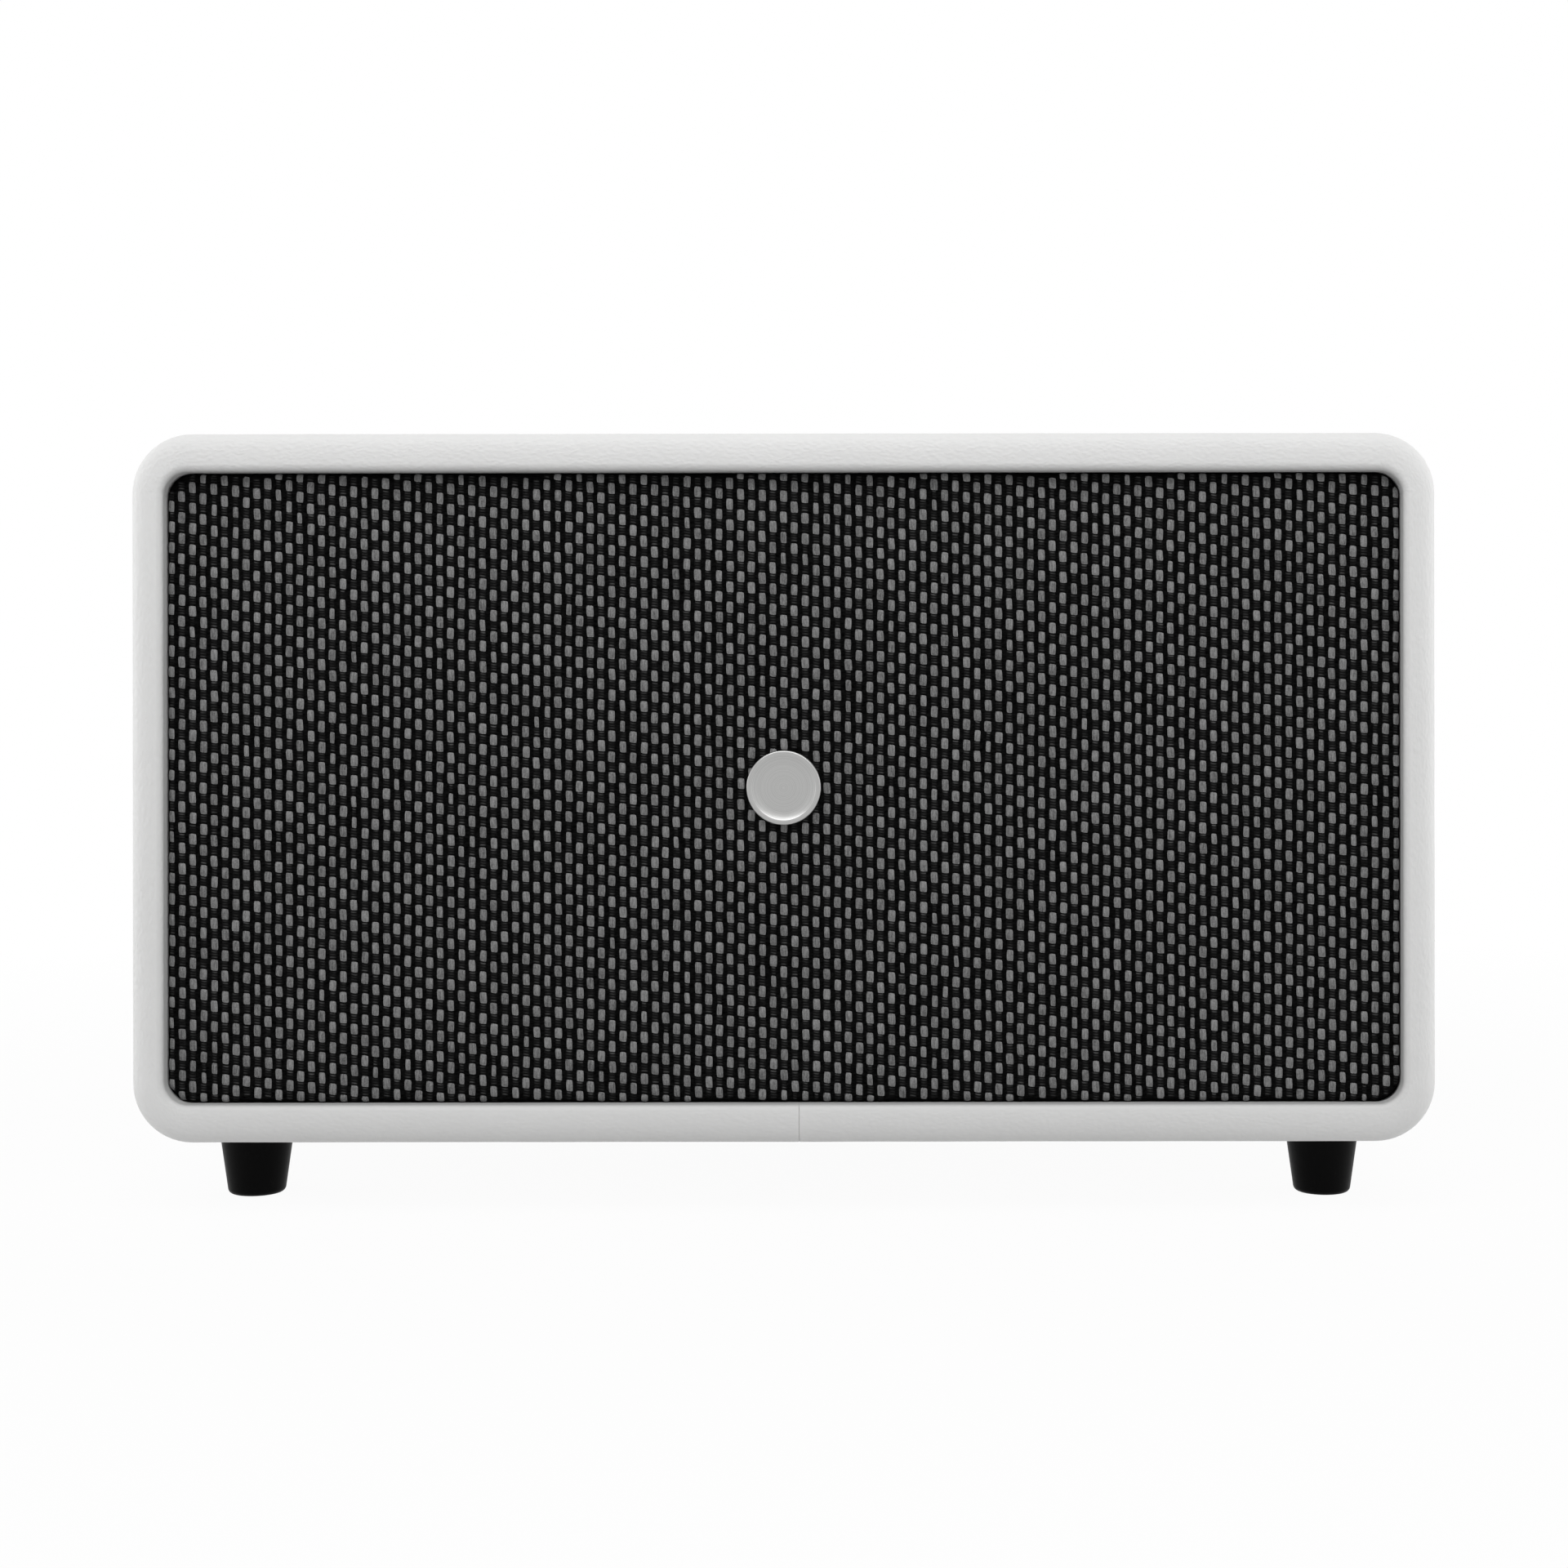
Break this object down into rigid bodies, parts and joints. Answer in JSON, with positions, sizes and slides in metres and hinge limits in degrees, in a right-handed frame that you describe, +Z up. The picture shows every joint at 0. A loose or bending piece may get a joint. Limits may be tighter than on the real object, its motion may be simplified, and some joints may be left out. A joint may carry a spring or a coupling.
{
  "type": "table-top smart speaker",
  "caption": "Box-shaped table-top speaker with a leathercloth cabinet, woven grille, push buttons on top, rear bass port and tapered feet.",
  "frame": {"origin": "on the floor under the middle of the cabinet", "axes": "+X to the right seen from the front, +Y to the back, +Z up; the grille faces -Y"},
  "size_m": [0.35, 0.18, 0.2097],
  "materials": {
    "white_leather": "fine pebble grain",
    "fibreboard": "raw board",
    "grille_fabric": "black and grey weave",
    "black_plastic": "fine texture",
    "control_plastic": "satin",
    "button_plastic": "satin",
    "badge_metal": "satin, turned",
    "foot_plastic": "satin",
    "black_rubber": "matt",
    "foam": "closed-cell foam",
    "screw_steel": "blackened",
    "basket_steel": "satin black",
    "cone_paper": "pressed pulp",
    "cap_paper": "pressed pulp",
    "trim_plastic": "satin",
    "coil_copper": "wound wire",
    "spider_cloth": "resin-treated cloth",
    "motor_steel": "plated",
    "ferrite": "ground",
    "plate_metal": "satin black",
    "board_laminate": "solder mask",
    "heat_sink_metal": "extruded",
    "component_plastic": "moulded",
    "shield_metal": "tinned",
    "lead_jacket": "matt",
    "wadding": "loose wadding",
    "lens_plastic": "clear"
  },
  "bodies": {
    "cabinet": {"leather_wrap": "white_leather", "cabinet_shell": "fibreboard", "front_baffle": "fibreboard", "rear_cleats": "fibreboard", "grille_cloth": "grille_fabric", "grille_frame": "black_plastic", "rear_panel": "black_plastic", "board_standoffs": "black_plastic", "port_tube": "black_plastic", "mains_inlet": "black_plastic", "audio_jack": "black_plastic", "control_panel": "control_plastic", "badge": "badge_metal", "foot_front_left": "foot_plastic", "foot_front_right": "foot_plastic", "foot_rear_left": "foot_plastic", "foot_rear_right": "foot_plastic", "grille_cups": "black_rubber", "left_surround": "black_rubber", "right_surround": "black_rubber", "driver_seals": "foam", "rear_gasket": "foam", "foot_screws": "screw_steel", "driver_screws": "screw_steel", "board_screws": "screw_steel", "rear_panel_screws": "screw_steel", "input_plate_screws": "screw_steel", "left_basket": "basket_steel", "right_basket": "basket_steel", "trim_rings": "trim_plastic", "left_spider": "spider_cloth", "right_spider": "spider_cloth", "top_plates": "motor_steel", "yokes": "motor_steel", "magnets": "ferrite", "input_plate": "plate_metal", "amplifier_board": "board_laminate", "supply_board": "board_laminate", "control_board": "board_laminate", "heat_sink": "heat_sink_metal", "capacitors": "component_plastic", "transformer": "component_plastic", "board_connectors": "component_plastic", "button_switches": "component_plastic", "radio_module": "shield_metal", "speaker_leads": "lead_jacket", "board_leads": "lead_jacket", "damping_pads": "wadding", "status_lens": "lens_plastic"},
    "left_cone_assembly": {"left_cone": "cone_paper", "left_dust_cap": "cap_paper", "left_voice_coil": "coil_copper"},
    "right_cone_assembly": {"right_cone": "cone_paper", "right_dust_cap": "cap_paper", "right_voice_coil": "coil_copper"},
    "power_button": {"power_button": "button_plastic"},
    "source_button": {"source_button": "button_plastic"},
    "volume_down_button": {"volume_down_button": "button_plastic"},
    "volume_up_button": {"volume_up_button": "button_plastic"},
    "mute_button": {"mute_button": "button_plastic"}
  },
  "joints": [
    {"name": "left_cone_stroke", "type": "slide", "parent": "cabinet", "child": "left_cone_assembly", "axis": [0, 1, 0], "range_m": [-0.003, 0.003], "stiffness_N_per_m": 1000, "deforming": ["left_surround", "left_spider"]},
    {"name": "right_cone_stroke", "type": "slide", "parent": "cabinet", "child": "right_cone_assembly", "axis": [0, 1, 0], "range_m": [-0.003, 0.003], "stiffness_N_per_m": 1000, "deforming": ["right_surround", "right_spider"]},
    {"name": "power_button_press", "type": "slide", "parent": "cabinet", "child": "power_button", "axis": [0, 0, -1], "range_m": [0, 0.0008], "stiffness_N_per_m": 1500, "springref_m": -0.0004},
    {"name": "source_button_press", "type": "slide", "parent": "cabinet", "child": "source_button", "axis": [0, 0, -1], "range_m": [0, 0.0008], "stiffness_N_per_m": 1500, "springref_m": -0.0004},
    {"name": "volume_down_button_press", "type": "slide", "parent": "cabinet", "child": "volume_down_button", "axis": [0, 0, -1], "range_m": [0, 0.0008], "stiffness_N_per_m": 1500, "springref_m": -0.0004},
    {"name": "volume_up_button_press", "type": "slide", "parent": "cabinet", "child": "volume_up_button", "axis": [0, 0, -1], "range_m": [0, 0.0008], "stiffness_N_per_m": 1500, "springref_m": -0.0004},
    {"name": "mute_button_press", "type": "slide", "parent": "cabinet", "child": "mute_button", "axis": [0, 0, -1], "range_m": [0, 0.0008], "stiffness_N_per_m": 1500, "springref_m": -0.0004}
  ]
}
